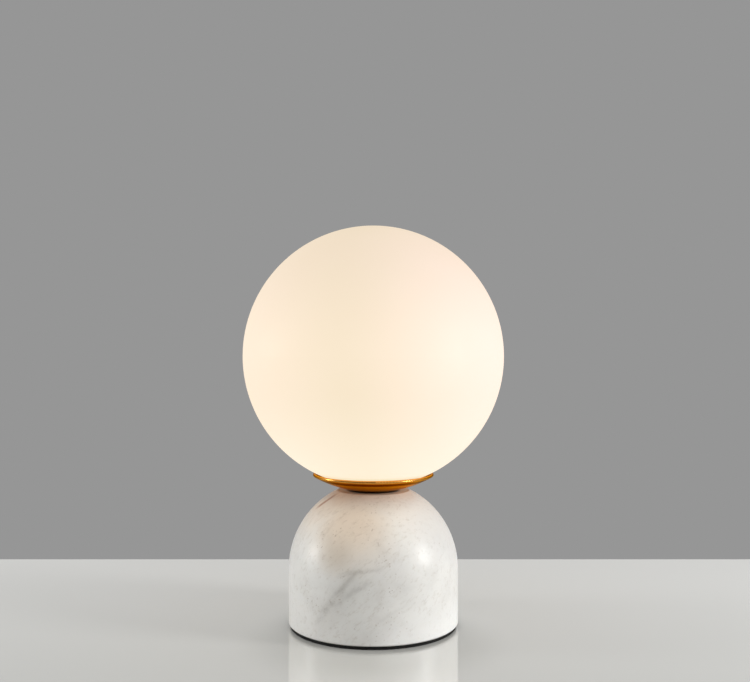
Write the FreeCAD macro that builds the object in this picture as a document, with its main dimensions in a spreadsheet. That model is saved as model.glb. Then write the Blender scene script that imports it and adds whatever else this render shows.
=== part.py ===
import FreeCAD
import Part
import Sketcher
import math
import os
import re

# Table lamp: an opal glass globe rests in a shallow brass cup on a domed marble base.
# Frame: origin at the centre of the foot on the table, +Z up, +Y is the lamp's rear, millimetres.

V = FreeCAD.Vector

# ---------------------------------------------------------------- driving sizes, one cell each
SIZES = {
    # marble base
    "base_radius": 65,
    "marble_top": 103.3,
    "shoulder_height": 44,
    "seat_radius": 27.9,
    "edge_chamfer": 0.9,
    "stone_bore_clearance": 0.5,
    "cavity_radius": 36,
    "cavity_height": 21.5,
    # foot, cover and its fasteners
    "foot_thickness": 2.5,
    "foot_inset": 1.5,
    "cover_thickness": 2,
    "cover_gap": 0.5,
    "ledge_width": 11,
    "anchor_radius": 2.75,
    "anchor_length": 10,
    "anchor_fit": 0.1,
    "cover_screw_radius": 1.5,
    "cover_screw_head_radius": 3,
    "cover_screw_length": 8,
    # chassis plate and the threaded tube with its nuts and washers
    "plate_gap": 1.5,
    "plate_thickness": 1.5,
    "tube_radius": 5,
    "tube_bore_radius": 3.9,
    "tube_clearance": 0.1,
    "tube_tail": 2,
    "tube_head": 6,
    "nut_flats": 14,
    "nut_thickness": 3,
    "washer_radius": 9,
    "washer_thickness": 0.8,
    # cord inlet at the rear, and the grip behind it
    "cord_radius": 3.1,
    "cord_clearance": 0.3,
    "cord_height": 13,
    "bushing_wall": 1.6,
    "bushing_fit": 0.1,
    "bushing_flange_width": 2.4,
    "bushing_flange_thickness": 3,
    "bushing_flange_edge": 0.8,
    "flange_recess": 2,
    "grip_wall_distance": 14,
    "grip_width": 26,
    "grip_depth": 10,
    "grip_bar_thickness": 3.5,
    "grip_gap": 0.8,
    "grip_screw_spacing": 18,
    # terminal block and earth lug
    "block_gap": 2,
    "block_length": 17,
    "block_width": 28,
    "block_height": 13,
    "pole_pitch": 9,
    "pole_drop": 9,
    "pole_sleeve_radius": 2.6,
    "pole_bore_radius": 1.7,
    "pole_sleeve_inset": 1,
    "pole_screw_radius": 1.3,
    "pole_shaft_clearance": 0.2,
    "pole_screw_inset": 4,
    "lug_x": 4,
    "lug_wall_distance": 12,
    "lug_width": 4.4,
    "lug_thickness": 0.8,
    "lug_neck_length": 5,
    "lug_barrel_length": 5,
    "lug_barrel_radius": 1.6,
    # machine screws in the cavity
    "screw_radius": 1.5,
    "screw_head_radius": 2.7,
    "screw_head_height": 2,
    "screw_clearance": 0.1,
    "screw_end_gap": 0.1,
    "screw_slot_width": 0.7,
    "screw_slot_depth": 0.6,
    # wires
    "wire_radius": 0.9,
    "wire_offset": 1.3,
    "wire_bend": 2.6,
    "wire_fit": 0.1,
    "wire_entry": 3,
    # brass cup
    "cup_radius": 46.5,
    "dish_radius": 94,
    "cup_floor_thickness": 2.5,
    "cup_gap": 1.6,
    "cup_floor_radius": 13.6,
    "cup_inner_floor_radius": 13.5,
    "rim_bead_radius": 1.1,
    # globe, its seat and the collar inside its mouth
    "globe_radius": 100,
    "globe_wall": 3,
    "mouth_clearance": 3.5,
    "rim_width": 3,
    "rest_gap": 0.2,
    "gasket_width": 4.2,
    "gasket_gap": 0.1,
    "collar_wall": 0.8,
    "collar_clearance": 0.6,
    "collar_floor_radius": 12.3,
    "collar_rise": 3.6,
    "collar_reach": 7,
    # lampholder
    "holder_radius": 14,
    "holder_wall": 1.6,
    "cap_height": 19,
    "cap_floor": 2.5,
    "cap_chamfer": 2,
    "cap_boss_radius": 8,
    "cap_boss_height": 7,
    "insert_flange_width": 0.8,
    "insert_flange_thickness": 2,
    "insert_fit": 0.1,
    "insert_boss_radius": 9.5,
    "insert_boss_height": 3.5,
    "insert_core_radius": 3.6,
    "insert_core_length": 4,
    "sleeve_wall": 0.6,
    "sleeve_length": 17,
    "shell_height": 26,
    "shell_lip_height": 2,
    "shell_lip_clearance": 1.2,
    "terminal_distance": 6.8,
    "terminal_width": 5,
    "terminal_depth": 4,
    "terminal_height": 6,
    "terminal_hole_depth": 5.6,
    "terminal_screw_radius": 1.1,
    "terminal_screw_fit": 0.05,
    "terminal_screw_head_radius": 1.7,
    "terminal_screw_head_height": 1.2,
    "spring_thickness": 0.4,
    "spring_length": 10,
    "spring_arch_start": 1.7,
    "spring_arch_end": 2,
    "spring_heel_height": 0.6,
    "spring_rise": 1.2,
    "spring_width": 4,
    "spring_gap": 0.3,
    # bulb
    "bulb_radius": 22.5,
    "bulb_length": 76.6,
    "bulb_cap_radius": 6.9,
    "bulb_cap_wall": 0.6,
    "bulb_cap_length": 15.3,
    "bulb_cap_clearance": 0.25,
    "thread_depth": 0.4,
    "thread_pitch": 2.82,
    "insulator_height": 2.8,
    "tip_radius": 2.3,
    "tip_height": 1.2,
    "housing_neck_radius": 8.4,
    "housing_height": 22,
    "housing_wall": 1.6,
    "housing_flare_radius": 77,
    "spigot_length": 5,
    "spigot_fit": 0.1,
    "diffuser_wall": 1.2,
    "board_thickness": 1.6,
    "board_fit": 0.2,
}

COVER_SCREWS = 3
THREAD_TURNS = 4

# ---------------------------------------------------------------- places that follow from the sizes
PLACES = {
    # heights in the base, from the table up
    "marble_bottom": "foot_thickness",
    "cover_top": "marble_bottom + cover_thickness",
    "cavity_roof": "cover_top + cavity_height",
    "plate_bottom": "cavity_roof - plate_thickness",
    "lower_washer_bottom": "plate_bottom - washer_thickness",
    "lower_nut_bottom": "lower_washer_bottom - nut_thickness",
    "tube_bottom": "lower_nut_bottom - tube_tail",
    # radii in the base
    "cover_radius": "cavity_radius + ledge_width",
    "recess_radius": "cover_radius + cover_gap",
    "cover_screw_circle": "cavity_radius + ledge_width / 2",
    "plate_radius": "cavity_radius - plate_gap",
    "tube_hole_radius": "tube_radius + tube_clearance",
    "stone_bore_radius": "tube_radius + stone_bore_clearance",
    "dome_run": "base_radius - seat_radius",
    "dome_rise": "marble_top - shoulder_height",
    "dome_radius": "(dome_run^2 + dome_rise^2) / (2 * dome_run)",
    # cord inlet
    "cord_bore_radius": "cord_radius + cord_clearance",
    "bushing_radius": "cord_bore_radius + bushing_wall",
    "bushing_flange_radius": "bushing_radius + bushing_flange_width",
    "flange_seat": "base_radius - flange_recess",
    # grip, earth lug and terminal block, placed from the cavity's wall
    "grip_distance": "cavity_radius - grip_wall_distance",
    "lug_y": "cavity_radius - lug_wall_distance",
    "block_reach": "sqrt((cavity_radius - block_gap)^2 - (block_width / 2)^2)",
    "block_distance": "block_reach - block_length",
    "pole_height": "plate_bottom - pole_drop",
    "block_bottom": "plate_bottom - block_height",
    "screw_end": "cavity_roof - screw_end_gap",
    # brass cup: inside, its dish lies at an even distance under the globe; outside it is a little
    # rounder, so that its wall grows thicker towards the floor
    "dish_inner_radius": "globe_radius + cup_gap",
    "cup_floor": "marble_top + cup_floor_thickness",
    "dish_centre": "marble_top + sqrt(dish_radius^2 - cup_floor_radius^2)",
    "globe_centre": "cup_floor + sqrt(dish_inner_radius^2 - cup_inner_floor_radius^2)",
    # the cup's rim: a round bead that is flush with the dish outside and stands proud inside
    "bead_centre_radius": "cup_radius - rim_bead_radius",
    "bead_arm": "dish_radius - rim_bead_radius",
    "bead_drop": "sqrt(bead_arm^2 - bead_centre_radius^2)",
    "bead_height": "dish_centre - bead_drop",
    "bead_depth": "globe_centre - bead_height",
    "bead_reach": "sqrt(bead_centre_radius^2 + bead_depth^2)",
    "bead_lean_across": "bead_centre_radius / bead_reach",
    "bead_lean_down": "bead_depth / bead_reach",
    "bead_foot_along": "(bead_reach^2 + dish_inner_radius^2 - rim_bead_radius^2) / (2 * bead_reach)",
    "bead_foot_across": "sqrt(dish_inner_radius^2 - bead_foot_along^2)",
    "bead_foot_radius": "bead_foot_along * bead_lean_across - bead_foot_across * bead_lean_down",
    "bead_foot_drop": "bead_foot_along * bead_lean_down + bead_foot_across * bead_lean_across",
    # globe and its seat
    "globe_inner_radius": "globe_radius - globe_wall",
    "mouth_radius": "bulb_radius + mouth_clearance",
    "rim_radius": "mouth_radius + rim_width",
    "rim_height": "globe_centre - sqrt(globe_radius^2 - rim_radius^2)",
    "collar_radius": "mouth_radius - collar_clearance",
    "collar_floor_top": "cup_floor + collar_wall",
    "collar_knee": "cup_floor + collar_rise",
    "gasket_outer_radius": "mouth_radius + gasket_width",
    # lampholder, from the cup's nut up
    "upper_nut_bottom": "collar_floor_top + washer_thickness",
    "cap_bottom": "upper_nut_bottom + nut_thickness",
    "tube_top": "cap_bottom + tube_head",
    "cap_top": "cap_bottom + cap_height",
    "flange_top": "cap_top + insert_flange_thickness",
    "insert_flange_radius": "holder_radius - insert_flange_width",
    "boss_top": "flange_top + insert_boss_height",
    "shell_top": "cap_top + shell_height",
    "sleeve_inner_radius": "bulb_cap_radius + bulb_cap_clearance",
    "terminal_bottom": "cap_top - terminal_height",
    # bulb, from its tip up
    "tip_bottom": "boss_top + spring_rise + spring_gap",
    "tip_top": "tip_bottom + tip_height",
    "insulator_top": "tip_top + insulator_height",
    "bulb_cap_top": "insulator_top + bulb_cap_length",
    "housing_top": "bulb_cap_top + housing_height",
    "bulb_centre": "tip_bottom + bulb_length - bulb_radius",
    "housing_top_radius": "sqrt(bulb_radius^2 - (bulb_centre - housing_top)^2)",
    "diffuser_inner_radius": "bulb_radius - diffuser_wall",
    "spigot_radius": "bulb_cap_radius - thread_depth - bulb_cap_wall - spigot_fit",
    "board_radius": "housing_top_radius - housing_wall - board_fit",
}

doc = FreeCAD.newDocument("globe_table_lamp")
sheet = doc.addObject("Spreadsheet::Sheet", "Sizes")
for row, (alias, size) in enumerate(SIZES.items(), start=1):
    sheet.set("A%d" % row, alias)
    sheet.set("B%d" % row, str(size))
    sheet.setAlias("B%d" % row, alias)
doc.recompute()


# ---------------------------------------------------------------- helpers
def bound(text):
    """An expression on the sheet's cells, from one in the names of sizes and places."""

    def cell(match):
        name = match.group(0)
        if name in PLACES:
            return "(" + bound(PLACES[name]) + ")"
        if name in SIZES:
            return "Sizes." + name
        return name

    return re.sub(r"[A-Za-z_]\w*", cell, text)


def number(text):
    """The present value of an expression in the names of sizes and places."""
    return float(sheet.evalExpression(bound(text)))


def move(piece, x="0", y="0", z="0", along="z"):
    """Put a piece's own origin at a place, with its own +Z turned along an axis of the lamp."""
    turns = {
        "x": FreeCAD.Rotation(V(0, 1, 0), 90),
        "y": FreeCAD.Rotation(V(1, 0, 0), -90),
        "-y": FreeCAD.Rotation(V(1, 0, 0), 90),
        "z": FreeCAD.Rotation(),
    }
    piece.Placement = FreeCAD.Placement(V(), turns[along])
    for key, text in zip("xyz", (x, y, z)):
        piece.setExpression("Placement.Base." + key, bound(text))
    return piece


def cylinder(radius, height, x="0", y="0", z="0", along="z"):
    rod = doc.addObject("Part::Cylinder", "Rod")
    rod.setExpression("Radius", bound(radius))
    rod.setExpression("Height", bound(height))
    return move(rod, x, y, z, along)


def cone(radius_low, radius_high, height, x="0", y="0", z="0"):
    taper = doc.addObject("Part::Cone", "Taper")
    taper.setExpression("Radius1", bound(radius_low))
    taper.setExpression("Radius2", bound(radius_high))
    taper.setExpression("Height", bound(height))
    return move(taper, x, y, z)


def block(size_x, size_y, size_z, x="0", y="0", z="0"):
    """A block centred on x and y that stands on z."""
    brick = doc.addObject("Part::Box", "Block")
    brick.setExpression("Length", bound(size_x))
    brick.setExpression("Width", bound(size_y))
    brick.setExpression("Height", bound(size_z))
    return move(brick, f"({x}) - ({size_x}) / 2", f"({y}) - ({size_y}) / 2", z)


def hexagon(flats, height, z):
    prism = doc.addObject("Part::Prism", "Hexagon")
    prism.Polygon = 6
    prism.setExpression("Circumradius", bound(f"{flats} / sqrt(3)"))
    prism.setExpression("Height", bound(height))
    return move(prism, z=z)


def fuse(*pieces):
    whole = doc.addObject("Part::MultiFuse", "Whole")
    whole.Shapes = list(pieces)
    return whole


def cut(piece, *tools):
    rest = doc.addObject("Part::Cut", "Rest")
    rest.Base = piece
    rest.Tool = tools[0] if len(tools) == 1 else fuse(*tools)
    return rest


def group(pieces):
    """Separate solids that share one node."""
    together = doc.addObject("Part::Compound", "Group")
    together.Links = list(pieces)
    return together


def arc_between(start, end, radius, way):
    """The shorter arc from start to end; way is ccw or cw."""
    half = (end - start) * 0.5
    reach = math.sqrt(max(radius**2 - half.Length**2, 0))
    side = V(-half.y, half.x, 0).normalize() * (reach if way == "ccw" else -reach)
    centre = start + half + side
    ends = (start, end) if way == "ccw" else (end, start)
    first, last = (math.atan2(p.y - centre.y, p.x - centre.x) for p in ends)
    if last < first:
        last += 2 * math.pi
    return Part.ArcOfCircle(Part.Circle(centre, V(0, 0, 1), radius), first, last)


def sketch(body, outline):
    """A closed outline in the body's XZ plane, every corner and arc bound to the sheet.

    A step is (x, z) where a straight edge ends, or (x, z, radius, way) where an arc ends. The last
    step's end is the first step's start.
    """
    plane = next(o for o in body.Origin.OriginFeatures if o.Role == "XZ_Plane")
    drawing = body.newObject("Sketcher::SketchObject", "Outline")
    drawing.AttachmentSupport = [(plane, "")]
    drawing.MapMode = "FlatFace"
    corners = [V(number(step[0]), number(step[1]), 0) for step in outline]
    starts = []
    for i, step in enumerate(outline):
        start, end = corners[i - 1], corners[i]
        if len(step) == 2:
            edge = drawing.addGeometry(Part.LineSegment(start, end), False)
        else:
            edge = drawing.addGeometry(arc_between(start, end, number(step[2]), step[3]), False)
        backwards = len(step) > 2 and step[3] == "cw"
        starts.append((edge, 2 if backwards else 1, 1 if backwards else 2))
    for i, step in enumerate(outline):
        edge, _, end = starts[i]
        after, after_start, _ = starts[(i + 1) % len(outline)]
        drawing.addConstraint(Sketcher.Constraint("Coincident", edge, end, after, after_start))
        for kind, axis, text in (("DistanceX", -2, step[0]), ("DistanceY", -1, step[1])):
            if text == "0":
                drawing.addConstraint(Sketcher.Constraint("PointOnObject", edge, end, axis))
                continue
            bond = Sketcher.Constraint(kind, -1, 1, edge, end, number(text))
            drawing.setExpression("Constraints[%d]" % drawing.addConstraint(bond), bound(text))
        if len(step) > 2:
            bond = Sketcher.Constraint("Radius", edge, number(step[2]))
            drawing.setExpression("Constraints[%d]" % drawing.addConstraint(bond), bound(step[2]))
    return drawing


def turned(outline):
    """A piece turned about the lamp's axis; the outline's x is its radius."""
    body = doc.addObject("PartDesign::Body", "Turned")
    drawing = sketch(body, outline)
    spin = body.newObject("PartDesign::Revolution", "Spin")
    spin.Profile = drawing
    spin.ReferenceAxis = (drawing, ["V_Axis"])
    spin.Angle = 360
    return body


def ring(inner, outer, bottom, height):
    return cut(cylinder(outer, height, z=bottom), cylinder(inner, height, z=bottom))


def hung_screw(x, y, seat, length, radius="screw_radius", head_radius="screw_head_radius"):
    """A slotted screw that points up, with its head under the seat."""
    head_bottom = f"{seat} - screw_head_height"
    head = cylinder(head_radius, "screw_head_height", x, y, head_bottom)
    shank = cylinder(radius, length, x, y, seat)
    slot = block(f"3 * {head_radius}", "screw_slot_width", "screw_slot_depth", x, y, head_bottom)
    return cut(fuse(head, shank), slot)


def screw_hole(x, y, bottom, height):
    return cylinder("screw_radius + screw_clearance", height, x, y, bottom)


def routed_wire(label, route, bend):
    """A round wire along straight runs joined by tangent arcs."""
    points = [V(*(number(text) for text in point)) for point in route]
    edges = []
    here = points[0]
    for before, corner, after in zip(points, points[1:], points[2:]):
        back = before - corner
        ahead = after - corner
        half_turn = (math.pi - back.getAngle(ahead)) / 2
        trim = min(bend * math.tan(half_turn), 0.45 * back.Length, 0.45 * ahead.Length)
        radius = trim / math.tan(half_turn)
        back.normalize()
        ahead.normalize()
        inward = (back + ahead).normalize()
        middle = corner + inward * (radius / math.cos(half_turn) - radius)
        edges.append(Part.makeLine(here, corner + back * trim))
        edges.append(Part.Arc(corner + back * trim, middle, corner + ahead * trim).toShape())
        here = corner + ahead * trim
    edges.append(Part.makeLine(here, points[-1]))
    line = Part.Wire(edges)
    radius = number("wire_radius")
    section = Part.Wire([Part.makeCircle(radius, points[0], points[1] - points[0])])
    piece = doc.addObject("Part::Feature", label)
    piece.Shape = line.makePipeShell([section], True, False)
    ratio = piece.Shape.Volume / (math.pi * radius**2 * line.Length)
    print(f"{label}: length {line.Length:.1f}, volume over section times length {ratio:.4f}")
    return piece


# ---------------------------------------------------------------- marble base and foot
def marble_base():
    """A dome on a straight side, bored for the tube and hollowed below for the wiring."""
    blank = turned(
        [
            ("cavity_radius", "cavity_roof"),
            ("cavity_radius", "cover_top"),
            ("recess_radius", "cover_top"),
            ("recess_radius", "marble_bottom"),
            ("base_radius - edge_chamfer", "marble_bottom"),
            ("base_radius", "marble_bottom + edge_chamfer"),
            ("base_radius", "shoulder_height"),
            ("seat_radius", "marble_top", "dome_radius", "ccw"),
            ("stone_bore_radius", "marble_top"),
            ("stone_bore_radius", "cavity_roof"),
        ]
    )
    inlet = cylinder(
        "bushing_radius + bushing_fit", "base_radius", y="cavity_radius / 2", z="cord_height", along="y"
    )
    flange_seat = cylinder(
        "bushing_flange_radius + bushing_fit", "base_radius", y="flange_seat", z="cord_height", along="y"
    )
    sockets = [
        cylinder("anchor_radius + anchor_fit", "anchor_length + anchor_fit", x, y, "cover_top")
        for x, y in cover_screw_places()
    ]
    return cut(blank, inlet, flange_seat, *sockets)


def foot_pad():
    return cylinder("base_radius - foot_inset", "foot_thickness")


# ---------------------------------------------------------------- bottom cover
def cover_screw_places():
    """Evenly spaced on the ledge round the cavity, the first at the front."""
    places = []
    for i in range(COVER_SCREWS):
        angle = 360 * i / COVER_SCREWS - 90
        x = f"cover_screw_circle * cos({angle:g} deg)"
        y = f"cover_screw_circle * sin({angle:g} deg)"
        places.append((x, y))
    return places


def bottom_cover():
    plate = cylinder("cover_radius", "cover_thickness", z="marble_bottom")
    holes = [
        cone(
            "cover_screw_head_radius + screw_clearance",
            "cover_screw_radius + screw_clearance",
            "cover_thickness",
            x,
            y,
            "marble_bottom",
        )
        for x, y in cover_screw_places()
    ]
    return cut(plate, *holes)


def cover_screws():
    """Countersunk, flush with the cover."""
    screws = []
    for x, y in cover_screw_places():
        head = cone(
            "cover_screw_head_radius", "cover_screw_radius", "cover_thickness", x, y, "marble_bottom"
        )
        shank = cylinder("cover_screw_radius", "cover_screw_length", x, y, "cover_top")
        slot = block(
            "3 * cover_screw_head_radius", "screw_slot_width", "screw_slot_depth", x, y, "marble_bottom"
        )
        screws.append(cut(fuse(head, shank), slot))
    return group(screws)


def cover_anchors():
    """Threaded brass plugs set in the marble for the cover's screws."""
    return group(
        cut(
            cylinder("anchor_radius", "anchor_length", x, y, "cover_top"),
            cylinder("cover_screw_radius + screw_clearance", "anchor_length", x, y, "cover_top"),
        )
        for x, y in cover_screw_places()
    )


# ---------------------------------------------------------------- cord inlet and grip
def cord_bushing():
    """A flanged sleeve that lines the rear hole."""
    sleeve = turned(
        [
            ("bushing_radius", "0"),
            ("bushing_radius", "flange_seat - cavity_radius"),
            ("bushing_flange_radius", "flange_seat - cavity_radius"),
            (
                "bushing_flange_radius",
                "flange_seat - cavity_radius + bushing_flange_thickness - bushing_flange_edge",
            ),
            (
                "bushing_flange_radius - bushing_flange_edge",
                "flange_seat - cavity_radius + bushing_flange_thickness",
                "bushing_flange_edge",
                "ccw",
            ),
            ("cord_bore_radius", "flange_seat - cavity_radius + bushing_flange_thickness"),
            ("cord_bore_radius", "0"),
        ]
    )
    return move(sleeve, y="cavity_radius", z="cord_height", along="y")


def grip_screw_places():
    return [(f"{side} * grip_screw_spacing / 2", "grip_distance") for side in (-1, 1)]


def cord_channel():
    """The cord's way through the grip."""
    return cylinder(
        "cord_bore_radius", "2 * grip_depth", y="grip_distance - grip_depth", z="cord_height", along="y"
    )


def cord_grip_block():
    bottom = "cord_height + grip_gap / 2"
    height = f"plate_bottom - ({bottom})"
    body = block("grip_width", "grip_depth", height, y="grip_distance", z=bottom)
    holes = [screw_hole(x, y, bottom, height) for x, y in grip_screw_places()]
    return cut(body, cord_channel(), *holes)


def cord_grip_bar():
    bottom = "cord_height - grip_gap / 2 - grip_bar_thickness"
    body = block("grip_width", "grip_depth", "grip_bar_thickness", y="grip_distance", z=bottom)
    holes = [screw_hole(x, y, bottom, "grip_bar_thickness") for x, y in grip_screw_places()]
    return cut(body, cord_channel(), *holes)


def cord_grip_screws():
    seat = "cord_height - grip_gap / 2 - grip_bar_thickness"
    return group(hung_screw(x, y, seat, f"screw_end - ({seat})") for x, y in grip_screw_places())


# ---------------------------------------------------------------- chassis plate and its contents
def block_screw_place():
    return "-block_distance - block_length / 2", "pole_pitch / 2"


def chassis_plate():
    """A steel disc under the cavity's roof that carries the terminal block, grip and earth screw."""
    disc = cylinder("plate_radius", "plate_thickness", z="plate_bottom")
    places = grip_screw_places() + [block_screw_place(), ("-lug_x", "-lug_y")]
    holes = [screw_hole(x, y, "plate_bottom", "plate_thickness") for x, y in places]
    return cut(disc, cylinder("tube_hole_radius", "plate_thickness", z="plate_bottom"), *holes)


def poles():
    """The terminal block's three poles, across the block."""
    return [f"{side} * pole_pitch" for side in (-1, 0, 1)]


def pole_screw_places():
    ends = ("-block_distance - pole_screw_inset", "-block_distance - block_length + pole_screw_inset")
    return [(x, y) for y in poles() for x in ends]


def pole_rod(radius, y, inset="0"):
    """A rod along a pole, short of the block's ends by the inset."""
    length = f"block_length - 2 * ({inset})"
    return cylinder(radius, length, f"-block_distance - block_length + {inset}", y, "pole_height", "x")


def terminal_block():
    middle = "-block_distance - block_length / 2"
    body = block("block_length", "block_width", "block_height", middle, z="block_bottom")
    bores = [pole_rod("pole_sleeve_radius + wire_fit", y) for y in poles()]
    shaft_radius = "pole_screw_radius + pole_shaft_clearance"
    shafts = [
        cylinder(shaft_radius, "pole_height - block_bottom", x, y, "block_bottom")
        for x, y in pole_screw_places()
    ]
    hole = screw_hole(*block_screw_place(), "block_bottom", "block_height")
    return cut(body, *bores, *shafts, hole)


def terminal_sleeves():
    """One brass sleeve in each pole, tapped for its two screws."""
    sleeves = []
    tap_radius = "pole_screw_radius + screw_clearance"
    for y in poles():
        sleeve = pole_rod("pole_sleeve_radius", y, "pole_sleeve_inset")
        tube = cut(sleeve, pole_rod("pole_bore_radius", y))
        taps = [
            cylinder(tap_radius, "pole_height - block_bottom", x, where, "block_bottom")
            for x, where in pole_screw_places()
            if where == y
        ]
        sleeves.append(cut(tube, *taps))
    return group(sleeves)


def terminal_screws():
    """Slotted grub screws, up to the wires from below."""
    screws = []
    length = "pole_height - wire_radius - wire_fit - block_bottom"
    slot_length = "3 * pole_screw_radius"
    for x, y in pole_screw_places():
        rod = cylinder("pole_screw_radius", length, x, y, "block_bottom")
        slot = block(slot_length, "screw_slot_width", "screw_slot_depth", x, y, "block_bottom")
        screws.append(cut(rod, slot))
    return group(screws)


def block_screw():
    return hung_screw(*block_screw_place(), "block_bottom", "screw_end - (block_bottom)")


def earth_lug():
    """A crimp lug: a ring under the earth screw, a neck and a barrel that takes the earth wire."""
    bottom = "plate_bottom - lug_thickness"
    start = "-lug_y + lug_width"
    axis = "plate_bottom - lug_barrel_radius"
    eye = cylinder("lug_width", "lug_thickness", "-lug_x", "-lug_y", bottom)
    neck = block("2 * lug_barrel_radius", "lug_neck_length", "lug_thickness", "-lug_x", start, bottom)
    barrel = cylinder("lug_barrel_radius", "lug_barrel_length", "-lug_x", start, axis, "y")
    bore = cylinder("wire_radius + wire_fit", "lug_barrel_length", "-lug_x", start, axis, "y")
    hole = screw_hole("-lug_x", "-lug_y", bottom, "lug_thickness")
    return cut(fuse(eye, neck, barrel), hole, bore)


def earth_screw():
    seat = "plate_bottom - lug_thickness"
    return hung_screw("-lug_x", "-lug_y", seat, f"screw_end - ({seat})")


# ---------------------------------------------------------------- threaded tube, nuts and washers
def threaded_tube():
    """Holds the whole stack together, from the cavity to the lampholder, and carries the wires."""
    return ring("tube_bore_radius", "tube_radius", "tube_bottom", "tube_top - tube_bottom")


def nut(bottom):
    body = hexagon("nut_flats", "nut_thickness", bottom)
    return cut(body, cylinder("tube_hole_radius", "nut_thickness", z=bottom))


def lower_washer():
    return ring("tube_hole_radius", "washer_radius", "lower_washer_bottom", "washer_thickness")


def lower_nut():
    return nut("lower_nut_bottom")


def upper_washer():
    return ring("tube_hole_radius", "washer_radius", "collar_floor_top", "washer_thickness")


def upper_nut():
    return nut("upper_nut_bottom")


# ---------------------------------------------------------------- brass cup, collar, gasket and globe
def dish_height(radius, dish="dish_inner_radius"):
    """The height of a dish about the globe's centre at a radius from the axis."""
    return f"globe_centre - sqrt({dish}^2 - ({radius})^2)"


def brass_cup():
    """A turned dish with a flat floor and a thick round rim."""
    reach = "dish_radius / bead_arm"
    return turned(
        [
            ("cup_floor_radius", "marble_top"),
            (
                f"bead_centre_radius * {reach}",
                f"dish_centre - bead_drop * {reach}",
                "dish_radius",
                "ccw",
            ),
            ("cup_radius", "bead_height", "rim_bead_radius", "ccw"),
            ("bead_centre_radius", "bead_height + rim_bead_radius", "rim_bead_radius", "ccw"),
            ("bead_foot_radius", "globe_centre - bead_foot_drop", "rim_bead_radius", "ccw"),
            ("cup_inner_floor_radius", "cup_floor", "dish_inner_radius", "cw"),
            ("tube_hole_radius", "cup_floor"),
            ("tube_hole_radius", "marble_top"),
        ]
    )


def locating_collar():
    """A pressed collar that stands inside the globe's mouth and keeps it in the middle."""
    return turned(
        [
            ("collar_floor_radius", "cup_floor"),
            ("collar_radius", "collar_knee"),
            ("collar_radius", "rim_height + collar_reach"),
            ("collar_radius - collar_wall", "rim_height + collar_reach"),
            ("collar_radius - collar_wall", "collar_knee + collar_wall / 2"),
            ("collar_floor_radius - collar_wall / 4", "collar_floor_top"),
            ("tube_hole_radius", "collar_floor_top"),
            ("tube_hole_radius", "cup_floor"),
        ]
    )


def globe_gasket():
    """A soft ring on the dish that the globe's ground rim rests on."""
    return turned(
        [
            ("mouth_radius", dish_height("mouth_radius") + " + gasket_gap"),
            (
                "gasket_outer_radius",
                dish_height("gasket_outer_radius") + " + gasket_gap",
                "dish_inner_radius",
                "ccw",
            ),
            ("gasket_outer_radius", "rim_height - rest_gap"),
            ("mouth_radius", "rim_height - rest_gap"),
        ]
    )


def glass_globe_lower():
    """The blown globe's lower half, with a round mouth whose rim is ground flat."""
    mouth_top = dish_height("mouth_radius", "globe_inner_radius")
    return turned(
        [
            ("rim_radius", "rim_height"),
            ("globe_radius", "globe_centre", "globe_radius", "ccw"),
            ("globe_inner_radius", "globe_centre"),
            ("mouth_radius", mouth_top, "globe_inner_radius", "cw"),
            ("mouth_radius", "rim_height"),
        ]
    )


def glass_globe_upper():
    """The blown globe's upper half, of one piece with the lower on the real lamp."""
    return turned(
        [
            ("globe_radius", "globe_centre"),
            ("0", "globe_centre + globe_radius", "globe_radius", "ccw"),
            ("0", "globe_centre + globe_inner_radius"),
            ("globe_inner_radius", "globe_centre", "globe_inner_radius", "cw"),
        ]
    )


# ---------------------------------------------------------------- lampholder
def holder_cap():
    """The lampholder's lower half, which screws onto the tube by its boss."""
    return turned(
        [
            ("holder_radius - cap_chamfer", "cap_bottom"),
            ("holder_radius", "cap_bottom + cap_chamfer"),
            ("holder_radius", "cap_top"),
            ("holder_radius - holder_wall", "cap_top"),
            ("holder_radius - holder_wall", "cap_bottom + cap_floor"),
            ("cap_boss_radius", "cap_bottom + cap_floor"),
            ("cap_boss_radius", "cap_bottom + cap_boss_height"),
            ("tube_hole_radius", "cap_bottom + cap_boss_height"),
            ("tube_hole_radius", "cap_bottom"),
        ]
    )


def holder_insert():
    """The insulating insert, held by its flange between the cap and the shell."""
    return turned(
        [
            ("insert_core_radius", "cap_top - insert_core_length"),
            ("insert_core_radius", "cap_top"),
            ("insert_flange_radius", "cap_top"),
            ("insert_flange_radius", "flange_top"),
            ("insert_boss_radius", "flange_top"),
            ("insert_boss_radius", "boss_top"),
            ("0", "boss_top"),
            ("0", "cap_top - insert_core_length"),
        ]
    )


def holder_shell():
    """The lampholder's upper half, with a lip round the bulb's cap."""
    lip_radius = "sleeve_inner_radius + shell_lip_clearance"
    return turned(
        [
            ("holder_radius", "cap_top"),
            ("holder_radius", "shell_top"),
            (lip_radius, "shell_top"),
            (lip_radius, "shell_top - shell_lip_height"),
            ("holder_radius - holder_wall", "shell_top - shell_lip_height"),
            ("holder_radius - holder_wall", "flange_top"),
            ("insert_flange_radius + insert_fit", "flange_top"),
            ("insert_flange_radius + insert_fit", "cap_top"),
        ]
    )


def contact_sleeve():
    """The sleeve that the bulb's screw cap turns into."""
    return ring("sleeve_inner_radius", "sleeve_inner_radius + sleeve_wall", "boss_top", "sleeve_length")


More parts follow.
